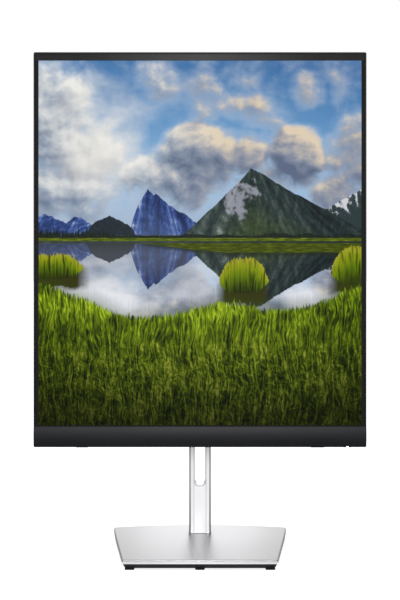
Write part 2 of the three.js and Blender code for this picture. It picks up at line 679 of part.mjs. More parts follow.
function addColumn(column) {
  const top = COLUMN.top;
  piece(column, "column_foot", columnFoot(), "silver");
  piece(column, "column_tube", columnTube(), "silver");
  const cap = raised(columnOutline(0), top + GAP, top + 4, 1.2)
    .add(block(-13.5, 13.5, -13.5, 13.5, top - 4, top + 1));
  piece(column, "column_cap", cap, "silver");
  for (const [name, side] of [["slide_rail_left", -1], ["slide_rail_right", 1]]) {
    const rail = block(...span(side, RAIL.in, RAIL.out), -RAIL.half, RAIL.half, COLUMN_JOIN + 1, top - 5);
    piece(column, name, rail, "zinc");
  }
  const SPRING_Z = 515.5;
  const drum = rod("x", 9.4, 14, 0, 0, SPRING_Z).subtract(rod("x", 4, 20, 0, 0, SPRING_Z, 20));
  piece(column, "lift_spring", drum, "steel");
  piece(column, "spring_pin", rod("x", 3.4, 24, 0, 0, SPRING_Z, 20), "zinc");
}

// ---- Swivel: turns with the column ----
const HUB_R = 11;
const DISC_R = 16.4;

function addSwivel(column) {
  const disc = rod("z", DISC_R, 2.1, 0, 0, BASE.top - 1.05, 48)
    .subtract(rod("z", HUB_R + GAP, 10, 0, 0, BASE.top));
  piece(column, "swivel_disc", disc, "brushed");
  const flange = block(-14, 14, -13.8, 13.8, BASE.top + 0.4, BASE.top + 5);
  const hub = rod("z", HUB_R, 10.4, 0, 0, BASE.top - 4.6).add(flange)
    .subtract(rod("z", 4.6, 60, 0, 0, BASE.top, 20));
  piece(column, "swivel_hub", hub, "steel");
  const ring = rod("z", 17, 1.6, 0, 0, 6).subtract(rod("z", HUB_R + GAP, 4, 0, 0, 6));
  piece(column, "swivel_ring", ring, "zinc");
  const SCREW = { head: 9, shank: 4 };
  const screw = rod("z", SCREW.head, 1.8, 0, 0, 4, 24).add(rod("z", SCREW.shank, 14, 0, 0, 11, 20))
    .subtract(block(-12, 12, -0.9, 0.9, 2, 3.9));
  piece(column, "base_screw", screw, "zinc");
}

// ---- Base ----
// The plan outline: straight front, sides that widen and curve, a bowed back.
function baseOutline(inset) {
  const { front, frontHalf, sideHalf, back } = BASE;
  const CORNER = 3;
  const f = front + inset;
  const fx = frontHalf - inset;
  const sx = sideHalf - inset;
  const side = { bendX: 133.2 - inset, bendY: 45.5, endY: 82.6 - inset };
  const rear = { x: 130.5 - inset, y: 89.1 - inset, bowY: 2 * (back - inset) - (89.1 - inset) };
  const shape = new THREE.Shape();
  shape.moveTo(-fx + CORNER, f);
  shape.lineTo(fx - CORNER, f);
  shape.quadraticCurveTo(fx, f, fx + 0.3, f + CORNER);
  shape.quadraticCurveTo(side.bendX, side.bendY, sx, side.endY);
  shape.quadraticCurveTo(sx, rear.y, rear.x, rear.y);
  shape.quadraticCurveTo(0, rear.bowY, -rear.x, rear.y);
  shape.quadraticCurveTo(-sx, rear.y, -sx, side.endY);
  shape.quadraticCurveTo(-side.bendX, side.bendY, -fx - 0.3, f + CORNER);
  shape.quadraticCurveTo(-fx, f, -fx + CORNER, f);
  return shape;
}

function baseCover() {
  const EDGE = 2.2;
  const SHEET = 1.8;
  const { top, pan } = BASE;
  const bullnose = raised(baseOutline(0), pan + GAP - 8, top, EDGE, EDGE, 8, 3)
    .subtract(block(-300, 300, -300, 300, -20, pan + GAP));
  const inside = raised(baseOutline(SHEET + 0.6), pan - 1, top - SHEET - 0.6, 0, 0, 8);
  return bullnose.subtract(inside).subtract(rod("z", DISC_R + 0.4, 20, 0, COLUMN_Y, top, 48));
}

function basePan() {
  const { pan, foot } = BASE;
  const TAPER = 3.4;
  const outer = stackedUp((e) => baseOutline(1 + e), [[TAPER, foot], [0, pan]]);
  const inside = raised(baseOutline(8), foot + 2, pan + 5, 0, 0, 8);
  return outer.subtract(inside).subtract(rod("z", 12, 20, 0, COLUMN_Y, foot, 32));
}

function basePlate() {
  return raised(baseOutline(11), 7.2, 11.6, 0, 0, 8)
    .subtract(rod("z", HUB_R + GAP, 20, 0, COLUMN_Y, 9));
}

const FEET = [
  { name: "foot_front_left", x: -100, y: -98.2 },
  { name: "foot_front_middle", x: 0, y: -98.2 },
  { name: "foot_front_right", x: 100, y: -98.2 },
  { name: "foot_rear_left", x: -117, y: 78 },
  { name: "foot_rear_right", x: 117, y: 78 },
];

function addBase(base) {
  piece(base, "base_cover", baseCover(), "brushed");
  piece(base, "base_pan", basePan(), "black");
  piece(base, "base_plate", basePlate(), "steel");
  for (const { name, x, y } of FEET) {
    const pad = upright(roundedRect(x - 7, x + 7, 0, 4, 1.9), y - 5, y + 5);
    const under = block(x - 9, x + 9, y - 9, y + 9, -1, BASE.foot - GAP);
    piece(base, name, pad.intersect(under), "rubber");
  }
}

// ---- Assembly ----
const monitor = new THREE.Group();

const base = new THREE.Group();
monitor.add(base);
addBase(base);

const column = new THREE.Group();
column.position.set(0, COLUMN_Y, 0);
monitor.add(column);
addSwivel(column);
addColumn(column);
addCarriage(column);

const hinge = new THREE.Group();
hinge.position.set(0, TILT_Y, HEAD_Z);
monitor.add(hinge);
addHinge(hinge);

const head = new THREE.Group();
head.position.set(0, FRONT_Y, HEAD_Z);
monitor.add(head);
piece(head, "side_frame", sideFrame(), "bezel");
piece(head, "bottom_bezel", bottomBezel(), "bezel");
addPanel(head);
piece(head, "rear_cover", rearCover(), "cover");
piece(head, "housing_cover", housingCover(), "cover");
addElectronics(head);
addControls(head);
addPivot(head);

export default monitor;
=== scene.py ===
"""A tall-screen computer monitor on a square column and flat base, dressed in Blender."""
import json
import math

import bpy
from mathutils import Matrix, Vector


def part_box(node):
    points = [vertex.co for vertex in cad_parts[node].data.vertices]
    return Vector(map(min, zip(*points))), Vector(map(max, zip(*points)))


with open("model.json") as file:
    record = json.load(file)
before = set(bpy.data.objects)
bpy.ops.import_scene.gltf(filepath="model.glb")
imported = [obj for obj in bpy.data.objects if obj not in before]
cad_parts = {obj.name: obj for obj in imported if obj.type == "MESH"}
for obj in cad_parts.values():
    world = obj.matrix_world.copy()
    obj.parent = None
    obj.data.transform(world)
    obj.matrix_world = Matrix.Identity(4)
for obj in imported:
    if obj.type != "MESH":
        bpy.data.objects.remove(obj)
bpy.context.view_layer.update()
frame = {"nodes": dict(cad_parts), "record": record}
NODES = frame["nodes"]
scene = bpy.context.scene
scene.view_settings.view_transform = "Standard"
scene.view_settings.look = "None"

# ---- Driving dimensions, in metres ----
SCREEN_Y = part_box("side_frame")[0][1]  # the head's front plane
HEAD_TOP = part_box("side_frame")[1][2]
TOP_BORDER = 0.0120  # from the head's top down to the picture
PICTURE_W, PICTURE_H = 0.4635, 0.5234
PICTURE_TOP = HEAD_TOP - TOP_BORDER
COLUMN_Y = sum(corner_shade[1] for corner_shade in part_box("column_foot")) / 2
COLUMN_FRONT = COLUMN_Y - 0.0155
COLUMN_EDGE = 0.0137  # half width of the column, up to its rounded edges
GROOVE_X = 0.0096  # middle of the slope on each side of the column's shallow groove
HOLE_CORNER_Z = 0.0945  # centre height of the cable hole's lower corners
HOLE_CORNER_X = 0.0025  # how far their centres are from the column's middle
HOLE_CORNER_RADIUS = 0.0055
BASE_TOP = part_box("base_cover")[1][2]

# ---- Camera ----
CAMERA_BACK = 1.660  # from the head's front plane
CAMERA_Z = 0.457
CAMERA_LENS = 69.42  # in millimetres, for a sensor 36 mm tall
CAMERA_SHIFT = -0.08667  # in frame heights; below 0 the view looks lower
camera = bpy.data.objects.new("camera", bpy.data.cameras.new("camera"))
scene.collection.objects.link(camera)
camera.location = (0, SCREEN_Y - CAMERA_BACK, CAMERA_Z)
camera.rotation_euler = (math.pi / 2, 0, 0)
camera.data.sensor_width = 36
camera.data.lens = CAMERA_LENS
camera.data.shift_y = CAMERA_SHIFT
camera.data.clip_start = 0.05
camera.data.clip_end = 60
scene.camera = camera


# ---- Node helpers: sockets that can be added, multiplied and so on ----
SOCKETS = {
    "color": "Base Color", "metal": "Metallic", "rough": "Roughness", "specular": "Specular IOR Level",
    "tint": "Specular Tint", "coat": "Coat Weight", "coat_rough": "Coat Roughness",
    "anisotropy": "Anisotropic", "tangent": "Tangent", "emission": "Emission Color",
    "glow": "Emission Strength", "ior": "IOR", "glass": "Transmission Weight",
}


class Tree:
    """A node tree, with short calls that make nodes and hand back their outputs."""

    def __init__(self, tree):
        self.nodes = tree.nodes
        self.links = tree.links
        self.material = None
        self.shader = None

    def plug(self, value, socket):
        if isinstance(value, Num):
            self.links.new(value.socket, socket)
        elif isinstance(value, bpy.types.NodeSocket):
            self.links.new(value, socket)
        else:
            socket.default_value = value

    def new(self, kind, **settings):
        node = self.nodes.new(kind)
        for key, value in settings.items():
            setattr(node, key, value)
        return node

    def math(self, operation, *values, clamp=False):
        node = self.new("ShaderNodeMath", operation=operation, use_clamp=clamp)
        for value, socket in zip(values, node.inputs):
            self.plug(value, socket)
        return Num(self, node.outputs[0])

    def coords(self, kind="Object"):
        return self.new("ShaderNodeTexCoord").outputs[kind]

    def split(self, vector):
        node = self.new("ShaderNodeSeparateXYZ")
        self.plug(vector, node.inputs[0])
        return tuple(Num(self, out) for out in node.outputs)

    def join(self, x=0.0, y=0.0, z=0.0):
        node = self.new("ShaderNodeCombineXYZ")
        for value, socket in zip((x, y, z), node.inputs):
            self.plug(value, socket)
        return node.outputs[0]

    def noise(self, vector, scale=1.0, detail=2.0, rough=0.5, lacunarity=2.0, distortion=0.0):
        node = self.new("ShaderNodeTexNoise", noise_dimensions="3D", noise_type="FBM")
        self.plug(vector, node.inputs["Vector"])
        for key, value in (("Scale", scale), ("Detail", detail), ("Roughness", rough),
                           ("Lacunarity", lacunarity), ("Distortion", distortion)):
            self.plug(value, node.inputs[key])
        return Num(self, node.outputs["Fac"])

    def cells(self, vector, scale, output="Distance"):
        node = self.new("ShaderNodeTexVoronoi")
        self.plug(vector, node.inputs["Vector"])
        node.inputs["Scale"].default_value = scale
        return Num(self, node.outputs[output])

    def ramp(self, value, stops):
        node = self.new("ShaderNodeValToRGB")
        ramp = node.color_ramp
        while len(ramp.elements) < len(stops):
            ramp.elements.new(0.5)
        for element, (position, colour) in zip(ramp.elements, stops):
            element.position = position
            element.color = (*colour, 1)
        self.plug(value, node.inputs[0])
        return node.outputs[0]

    def mix(self, factor, a, b, blend="MIX"):
        node = self.new("ShaderNodeMix", data_type="RGBA", blend_type=blend, clamp_factor=True)
        self.plug(factor, node.inputs[0])
        for value, socket in ((a, node.inputs[6]), (b, node.inputs[7])):
            if isinstance(value, tuple):
                value = (*value, 1)
            self.plug(value, socket)
        return node.outputs[2]

    def bump(self, height, distance):
        node = self.new("ShaderNodeBump")
        self.plug(height, node.inputs["Height"])
        node.inputs["Distance"].default_value = distance
        node.inputs["Strength"].default_value = 1.0
        self.links.new(node.outputs[0], self.shader.inputs["Normal"])

    def set(self, **values):
        for key, value in values.items():
            socket = self.shader.inputs[SOCKETS[key]]
            if isinstance(value, tuple) and len(value) == 3:
                value = (*value, 1)
            self.plug(value, socket)


def material_tree(name):
    """A new material with its tree of nodes. Its Principled shader is the tree's shader."""
    material = bpy.data.materials.new(name)
    material.use_nodes = True
    tree = Tree(material.node_tree)
    tree.material = material
    tree.shader = tree.nodes["Principled BSDF"]
    return tree


class Num:
    """A number output that can be used in arithmetic."""

    def __init__(self, tree, socket):
        self.tree = tree
        self.socket = socket

    def __add__(self, other):
        return self.tree.math("ADD", self, other)

    def __radd__(self, other):
        return self.tree.math("ADD", other, self)

    def __sub__(self, other):
        return self.tree.math("SUBTRACT", self, other)

    def __rsub__(self, other):
        return self.tree.math("SUBTRACT", other, self)

    def __mul__(self, other):
        return self.tree.math("MULTIPLY", self, other)

    def __truediv__(self, other):
        return self.tree.math("DIVIDE", self, other)

    def __pow__(self, other):
        return self.tree.math("POWER", self, other)

    def abs(self):
        return self.tree.math("ABSOLUTE", self)

    def clip(self):
        return self.tree.math("ADD", self, 0.0, clamp=True)

    def min(self, other):
        return self.tree.math("MINIMUM", self, other)

    def max(self, other):
        return self.tree.math("MAXIMUM", self, other)

    def over(self, low, high):
        """0 below low, 1 above high, smooth in between."""
        node = self.tree.new("ShaderNodeMapRange", interpolation_type="SMOOTHSTEP")
        self.tree.plug(self, node.inputs["Value"])
        for key, value in (("From Min", low), ("From Max", high)):
            self.tree.plug(value, node.inputs[key])
        return Num(self.tree, node.outputs[0])


def srgb(r, g, b):
    """A screen colour, 0 to 255, as the linear numbers shaders use."""
    shares = (r / 255, g / 255, b / 255)
    return tuple(c / 12.92 if c <= 0.04045 else ((c + 0.055) / 1.055) ** 2.4 for c in shares)


def grey(value):
    return srgb(value, value, value)


def dimmed(colour, share):
    return tuple(c * share for c in colour)


# ---- Stage: white floor, white surroundings, soft lights ----
def floor_material():
    """White to the camera, with soft shadows. To everything else it is a grey table with a white mat."""
    t = material_tree("floor_white")
    t.set(color=(0.6, 0.6, 0.6), rough=0.6, specular=0.0, emission=(1, 1, 1), glow=0.72)
    x, y, _ = t.split(t.coords())
    mat = (x * x + y * y).over(0.10, 0.055)
    table = t.new("ShaderNodeBsdfDiffuse")
    t.plug(t.mix(mat, (0.22, 0.22, 0.22), (0.9, 0.9, 0.9)), table.inputs["Color"])
    blend = t.new("ShaderNodeMixShader")
    t.plug(t.new("ShaderNodeLightPath").outputs["Is Camera Ray"], blend.inputs[0])
    t.plug(table.outputs[0], blend.inputs[1])
    t.plug(t.shader.outputs[0], blend.inputs[2])
    t.plug(blend.outputs[0], t.nodes["Material Output"].inputs["Surface"])
    return t.material


def light_world():
    """Pure white behind the object; for light, a white room that is darker to the left and right."""
    world = bpy.data.worlds.new("studio")
    scene.world = world
    world.use_nodes = True
    t = Tree(world.node_tree)
    x, y, z = t.split(t.coords("Generated"))
    sides = x.abs().over(0.40, 0.88)
    rear = y.over(0.0, 0.3)
    front_room = 0.95 - sides * 0.72 + z.over(0.1, 0.9) * 0.25
    panel = x.abs().over(0.36, 0.0) * (z - 0.16).abs().over(0.34, 0.04)
    rear_room = 0.75 - sides * 0.3 + panel * 1.35 + z.over(0.3, 0.9) * 0.7
    room = front_room + (rear_room - front_room) * rear - (0.0 - z).over(0.0, 0.6) * 0.6
    camera_ray = t.new("ShaderNodeLightPath").outputs["Is Camera Ray"]
    shade = t.mix(camera_ray, t.join(room, room, room), (1.0, 1.0, 1.0))
    t.plug(shade, t.nodes["Background"].inputs["Color"])


def add_stage():
    mesh = bpy.data.meshes.new("floor")
    half = 14
    corners = [(-half, -half, 0), (half, -half, 0), (half, half, 0), (-half, half, 0)]
    mesh.from_pydata(corners, [], [(0, 1, 2, 3)])
    floor = bpy.data.objects.new("floor", mesh)
    floor.location.z = -0.0001
    mesh.materials.append(floor_material())
    scene.collection.objects.link(floor)
    light_world()


def add_light(name, place, target, size, power):
    """A soft rectangular light that faces its target. Power is in watts."""
    data = bpy.data.lights.new(name, "AREA")
    data.shape = "RECTANGLE"
    data.size, data.size_y = size
    data.energy = power
    light = bpy.data.objects.new(name, data)
    light.location = place
    light.rotation_euler = (Vector(target) - Vector(place)).to_track_quat("-Z", "Y").to_euler()
    scene.collection.objects.link(light)


add_stage()
add_light("front", place=(0, -2.7, 0.7), target=(0, 0, 0.2), size=(0.55, 0.8), power=38)
add_light("above", place=(0, 1.6, 2.6), target=(0, 0.05, 0.3), size=(1.6, 1.0), power=14)
add_light("behind", place=(0, 0.55, 0.13), target=(0, 0, 0), size=(0.25, 0.12), power=0.06)


# ---- The picture on the screen: a made-up lake and mountain view, drawn with noise ----
# In all of it x runs across and y runs down, in picture heights from the picture's top left corner.
HORIZON = 0.487
PICTURE_SHAPE = PICTURE_W / PICTURE_H

# Each heap of cloud is (x, y, half width, half height, weight).
HEAPS = [
    (0.04, 0.20, 0.20, 0.20, 1.05), (0.06, 0.37, 0.20, 0.08, 1.35), (0.33, 0.05, 0.07, 0.06, 0.45),
    (0.40, 0.34, 0.20, 0.10, 1.20), (0.47, 0.27, 0.18, 0.10, 1.25), (0.55, 0.14, 0.13, 0.05, 0.50),
    (0.715, 0.25, 0.09, 0.09, 1.05), (0.735, 0.085, 0.05, 0.055, 0.62), (0.87, 0.26, 0.11, 0.13, 0.85),
    (0.62, 0.36, 0.16, 0.07, 0.70), (0.79, 0.36, 0.14, 0.07, 0.75),
]


def heap_cover(x, y):
    """How much cloud the heaps ask for."""
    total = None
    for middle, height, half_w, half_h, weight in HEAPS:
        across = (x - middle) / half_w
        up = (y - height) / half_h
        heap = (1.0 - across * across - up * up).max(-0.4) * weight
        total = heap if total is None else total.max(heap)
    return total


def puffs(t, x, y, seed=0.4):
    """Billows of cloud, from about -0.5 to 0.5."""
    return t.noise(t.join(x, y * 1.15, seed), 8.0, 7.0, 0.50, 2.1, 0.12) - 0.5


def cloudy_sky(t, x, y):
    """Blue sky with heaped clouds, lit from the upper right, and a bright haze at the left."""
    drift = t.noise(t.join(x, y, 7.7), 3.2, 3.0, 0.5) - 0.5
    near_x = x + drift * 0.07
    near_y = y + drift * 0.07
    puff = puffs(t, near_x, near_y)
    lit_puff = puffs(t, near_x + 0.012, near_y - 0.018)
    cover = heap_cover(near_x, near_y)
    cover_above = heap_cover(near_x + 0.010, near_y - 0.035)
    mass = cover * 0.62 + puff * 2.0
    shade = ((puff - lit_puff) * 3.1 + (cover - cover_above) * 0.8 + 0.46
             - (mass - 0.40).max(0.0) * 0.35).clip()
    cold_cloud = t.ramp(shade, [
        (0.0, srgb(96, 112, 136)), (0.3, srgb(140, 152, 170)), (0.6, srgb(188, 194, 200)),
        (1.0, srgb(236, 236, 232))])
    warm_cloud = t.ramp(shade, [
        (0.0, srgb(84, 96, 122)), (0.35, srgb(120, 128, 148)), (0.6, srgb(156, 156, 162)),
        (0.8, srgb(196, 184, 170)), (1.0, srgb(224, 206, 178))])
    cloud = t.mix((x - 0.1).over(0.1, 0.45), cold_cloud, warm_cloud)

    blue = t.ramp(y * 1.9 - x * 0.18 + 0.10, [
        (0.0, srgb(58, 108, 162)), (0.3, srgb(92, 142, 190)), (0.65, srgb(136, 178, 216)),
        (1.0, srgb(190, 208, 224))])
    wisp = t.noise(t.join(x * 2.0 + y * 2.6, y * 6.0 - x * 2.4, 3.0), 1.3, 6.0, 0.6, 2.0, 0.6)
    veil = t.mix(wisp.over(0.42, 0.75) * (0.85 - x).clip() * 0.75, blue, srgb(192, 208, 224))
    veil = t.mix(mass.over(-0.25, 0.30) * 0.45, veil, srgb(196, 208, 222))

    glow_x = (x - 0.15) / 0.16
    glow_y = (y - 0.21) / 0.19
    glow = (1.0 - glow_x * glow_x - glow_y * glow_y).clip()
    glow = glow * (puff * 2.6 + 0.85 - (0.10 - x).over(0.0, 0.08) * 0.5).clip()
    sky = t.mix(mass.over(0.02, 0.46) * 0.94, veil, cloud)
    sky = t.mix(glow * 0.8, sky, srgb(240, 236, 228))
    return t.mix((y - 0.33).over(0.0, 0.16) * 0.5, sky, srgb(132, 146, 174))


def tent(x, middle, left, height, power, right=None):
    """How high a peak stands at x. It slopes down to nothing over its width to the left and right."""
    right = right or left
    away = ((middle - x) / left).max((x - middle) / right)
    return (1.0 - away).max(0.0) ** power * height


# Each peak is a tent: (middle, width to the left, height, power, width to the right).
SUMMIT_X = 0.583
FAR_PEAKS = [
    (0.300, 0.048, 0.117, 0.52, 0.06), (0.325, 0.07, 0.110, 0.60, 0.10), (0.345, 0.09, 0.098, 0.60, 0.10),
    (0.02, 0.14, 0.056, 0.7, 0.12), (0.10, 0.06, 0.050, 0.8, 0.07),
]
SIDE_PEAKS = [(0.90, 0.21, 0.135, 0.85, 0.12)]
HILLS = [(0.195, 0.062, 0.058, 0.55, 0.07)]
NEAR_PEAKS = [
    (SUMMIT_X, 0.19, 0.184, 1.1, 0.34), (0.655, 0.14, 0.142, 1.0, 0.26), (0.50, 0.10, 0.095, 1.1, 0.10),
]


def depth_below(x, y, peaks, jag):
    """How far a point lies below the jagged outline of some peaks."""
    top = None
    for peak in peaks:
        rise = tent(x, *peak)
        top = rise if top is None else top.max(rise)
    return y - (HORIZON - 0.008 - top - jag * top.over(0.0, 0.03))


def cover(t, depth, picture, colour):
    """Paints a colour over the picture where depth is above 0, with a slightly soft outline."""
    return t.mix(depth.over(-0.0012, 0.0012), picture, colour)


def far_range(t, x, y, picture, jag, relief, grain):
    """Blue peaks in the distance, streaked by gullies that fan out from the summit."""
    depth = depth_below(x, y, FAR_PEAKS, jag * 0.085)
    fan = (x - 0.31) / (depth.max(0.0) + 0.16)
    gullies = t.noise(t.join(fan * 9.0, y * 3.2, 6.1), 1.0, 5.0, 0.6, 2.1, 0.5) - 0.5
    light = (relief * 2.0 + gullies * 2.0 + grain * 0.5 + 0.46 - (x - 0.305).over(0.0, 0.02) * 0.16).clip()
    rock = t.ramp(light, [(0.1, srgb(26, 40, 82)), (0.42, srgb(50, 74, 134)), (0.7, srgb(88, 112, 168)),
                          (1.0, srgb(178, 188, 214))])
    rock = t.mix(depth.over(0.0, 0.13) * 0.35, rock, srgb(92, 112, 150))
    return cover(t, depth, picture, rock)


def side_range(t, x, y, picture, jag, relief):
    """A dark range at the right, with snow near its top."""
    depth = depth_below(x, y, SIDE_PEAKS, jag * 0.05)
    snow = (relief * 7.0 + 0.50 - depth * 16.0).clip()
    rock = t.ramp(snow, [(0.0, srgb(44, 58, 60)), (0.3, srgb(62, 74, 80)), (0.7, srgb(206, 208, 214))])
    return cover(t, depth, picture, rock)


def near_mountain(t, x, y, picture, jag, relief, grain):
    """The green mountain: ribs down its sides, meadow low down and a pale scree by the ridge."""
    depth = depth_below(x, y, NEAR_PEAKS, jag * 0.030)
    ridge = x - SUMMIT_X - (y - 0.30) * 0.30
    fan = (x - SUMMIT_X) / (y - 0.255).max(0.02)
    ribs = t.noise(t.join(fan * 6.0, y * 2.6, 8.3), 1.0, 6.0, 0.6, 2.1, 0.4) - 0.5
    light = (relief * 1.8 + ribs * 1.7 + grain * 0.30 + 0.40
             + ridge.over(0.012, -0.03) * 0.12 - ridge.over(0.0, 0.08) * 0.08).clip()
    rock = t.ramp(light, [(0.0, srgb(18, 26, 30)), (0.4, srgb(40, 54, 54)), (0.75, srgb(76, 90, 84)),
                          (1.0, srgb(142, 148, 146))])
    green = (grain + relief * 2.0 + 0.5).clip()
    meadow = t.ramp(green, [(0.1, srgb(26, 40, 26)), (0.9, srgb(74, 92, 46))])
    rock = t.mix(depth.over(0.05, 0.17) * 0.75, rock, meadow)
    off_x = (x - 0.553) / 0.050
    off_y = (y - 0.362 + ridge * 0.3) / 0.052
    scree = (1.0 - off_x * off_x - off_y * off_y + relief * 9.0 + grain * 1.2).over(0.15, 1.1)
    rock = t.mix(scree * 0.8, rock, srgb(152, 154, 166))
    return cover(t, depth, picture, rock)


def mountains(t, x, y, picture):
    """Paints far blue ranges, low dark hills and a near green peak over the sky."""
    jag = t.noise(t.join(x, 0.0, 5.0), 12.0, 9.0, 0.62) - 0.5
    crags = t.noise(t.join(x * 1.5, y * 0.9, 2.2), 13.0, 8.0, 0.62, 2.1, 0.35)
    crags_lit = t.noise(t.join(x * 1.5 + 0.012, y * 0.9 - 0.006, 2.2), 13.0, 8.0, 0.62, 2.1, 0.35)
    relief = crags_lit - crags
    grain = t.noise(t.join(x * 60.0, y * 46.0, 4.0), 2.0, 3.0, 0.6) - 0.5

    picture = far_range(t, x, y, picture, jag, relief, grain)
    picture = side_range(t, x, y, picture, jag, relief)
    hill_rock = t.mix((grain + 0.5).clip(), srgb(20, 28, 36), srgb(46, 58, 66))
    picture = cover(t, depth_below(x, y, HILLS, jag * 0.05), picture, hill_rock)
    return near_mountain(t, x, y, picture, jag, relief, grain)


def marsh(t, x, y):
    """Flat wet meadow seen from low down: long thin streaks."""
    strip = t.noise(t.join(x * 34.0, y * 280.0, 0.0), 1.0, 3.0, 0.6)
    return t.ramp(strip, [(0.25, srgb(42, 54, 8)), (0.5, srgb(80, 96, 12)), (0.75, srgb(140, 148, 32))])


def far_shore(t, x, y, picture, strip):
    """A band of conifers and a strip of meadow along the far side of the water."""
    spikes = t.noise(t.join(x * 170.0, 0.0, 0.0), 1.0, 2.0, 0.7)
    stand = t.noise(t.join(x * 9.0, 0.0, 3.3), 1.0, 2.0, 0.5)
    height = (spikes * 0.018 + (stand - 0.48).max(0.0) * 0.04
              + (0.22 - x).over(0.0, 0.05) * (spikes - 0.35) * 0.055 - 0.002)
    trees = (y - (HORIZON - height)).over(-0.001, 0.001)
    bark = t.noise(t.join(x * 240.0, y * 90.0, 0.0), 1.0, 3.0, 0.6)
    picture = t.mix(trees, picture, t.ramp(bark, [(0.3, srgb(12, 18, 20)), (0.8, srgb(42, 54, 40))]))
    return t.mix((y - HORIZON).over(-0.002, 0.001), picture, strip)


def strands(t, across, y, seed, width, length, thin):
    """Thin bright lines that run mostly up and down, such as blades of grass."""
    field = t.noise(t.join(across * width, y * length, seed), 1.0, 2.0, 0.5, 2.0, 0.6)
    return (1.0 - (field - 0.5).abs() * thin).max(0.0)


def grass(t, x, y):
    """Long grass in tufts, with curled wisps low down. It gets darker towards the viewer."""
    lean = t.noise(t.join(x * 9.0, y * 6.0, 1.0), 1.0, 3.0, 0.5) - 0.5
    across = x + lean * 0.06
    curl = t.noise(t.join(x * 30.0, y * 22.0, 5.0), 1.0, 2.0, 0.5) - 0.5
    tufts = t.noise(t.join(x * 8.0, y * 11.0, 9.0), 1.0, 5.0, 0.65) - 0.5
    comb = t.noise(t.join(across * 170.0, y * 18.0, 2.0), 1.0, 3.0, 0.65, 2.0, 0.2) - 0.5
    long_blades = strands(t, across, y, 6.0, 62.0, 9.0, 12.0)
    fine_blades = strands(t, across + curl * 0.012, y, 11.0, 120.0, 19.0, 8.0)
    wisps = strands(t, x + curl * 0.05, y + curl * 0.03, 15.0, 66.0, 42.0, 12.0)
    value = (comb * 1.1 + tufts * 1.1 + 0.17 + long_blades * 0.28 + fine_blades * 0.30
             + wisps * (y - 0.72).over(0.0, 0.12) * 0.34)
    corners = (x - PICTURE_SHAPE / 2).abs().over(0.18, 0.46)
    fades = [(0.5, 1.0), (0.70, 1.1), (0.77, 0.52), (0.86, 0.30), (0.93, 0.15), (1.0, 0.07)]
    fade = t.ramp(y + corners * 0.05, [(place, (share, share, share)) for place, share in fades])
    green = t.ramp(value.clip(), [
        (0.0, srgb(16, 27, 2)), (0.25, srgb(54, 73, 4)), (0.5, srgb(98, 122, 6)), (0.78, srgb(154, 178, 30)),
        (1.0, srgb(220, 226, 96))])
    return t.mix(1.0, green, fade, "MULTIPLY")


# Each clump of reeds is (middle, half width, top, foot).
CLUMPS = [(0.035, 0.095, 0.530, 0.592), (0.885, 0.085, 0.508, 0.610), (0.562, 0.068, 0.540, 0.634)]


def lake(t, x, y, strip):
    """The sky and mountains down to the far shore, and below it their reflection in rippled water."""
    below_shore = y - HORIZON
    ripple = t.noise(t.join(x * 16.0, y * 300.0, 0.0), 1.0, 3.0, 0.6) - 0.5
    mirror_y = 2.0 * HORIZON + 0.006 - y + ripple * (0.003 + below_shore.max(0.0) * 0.04)
    seen_y = y.min(mirror_y)
    gleam = (puffs(t, x, y * 1.4, 2.6) * 4.0 + 0.62).clip() * below_shore.over(0.02, 0.08)
    gleam = gleam * (0.32 - x).over(0.0, 0.08).max((x - 0.62).over(0.0, 0.08)).max(0.5)
    sky = t.mix(gleam * 0.92, cloudy_sky(t, x, seen_y), srgb(240, 243, 246))
    view = mountains(t, x, seen_y, sky)

    water = t.mix(1.0, view, (0.90, 0.90, 0.92), "MULTIPLY")
    haze = (0.44 - x).over(0.0, 0.04) * below_shore.over(0.16, 0.06)
    water = t.mix(haze * 0.34, water, srgb(104, 108, 118))
    water = t.mix(below_shore.over(0.05, 0.0) * 0.7, water, srgb(36, 46, 42))
    return t.mix((below_shore - 0.008).over(-0.0008, 0.0008), far_shore(t, x, y, view, strip), water)


def reed_clump(t, x, y, picture, clump, comb, wander, ragged):
    """A dome of reeds in the water, with a dark shadow round its foot."""
    middle, half, top, foot = clump
    off = (x - middle) / half + ragged * 0.30
    dome = (1.0 - off * off * off.abs()).max(0.0) ** 0.5
    inside = (dome + comb * 0.30).over(0.10, 0.22)
    crown = foot - dome * (foot - top) + comb * 0.040 + ragged * 0.015
    hem = foot + 0.006 - (1.0 - dome) * 0.045 + wander * 0.02 + comb * 0.012

    shade_x = (x - middle) / (half * 1.12)
    shadow = (1.0 - shade_x * shade_x).max(0.0) * (y - foot + 0.035).over(0.0, 0.02)
    shadow = shadow * (foot + 0.040 + ragged * 0.03 - y).over(0.0, 0.02)
    murk = t.mix((comb + 0.5).clip(), srgb(30, 30, 6), srgb(62, 64, 12))
    picture = t.mix((shadow * 1.8).clip(), picture, murk)

    reeds = strands(t, x + off * (y - foot) * 0.10, y, 3.0, 110.0, 12.0, 6.0)
    depth = ((y - crown) / (foot - top + 0.01)).clip()
    tone = t.ramp(depth, [(0.0, srgb(164, 162, 40)), (0.22, srgb(134, 148, 10)), (0.5, srgb(92, 118, 0)),
                          (0.8, srgb(54, 70, 0)), (1.0, srgb(30, 34, 0))])
    tuft = t.mix((reeds * 0.9 + comb * 2.0 + 0.36 - depth * 0.30).clip(), srgb(22, 32, 0), tone)
    return t.mix((y - crown).over(-0.001, 0.003) * (hem - y).over(-0.002, 0.004) * inside, picture, tuft)


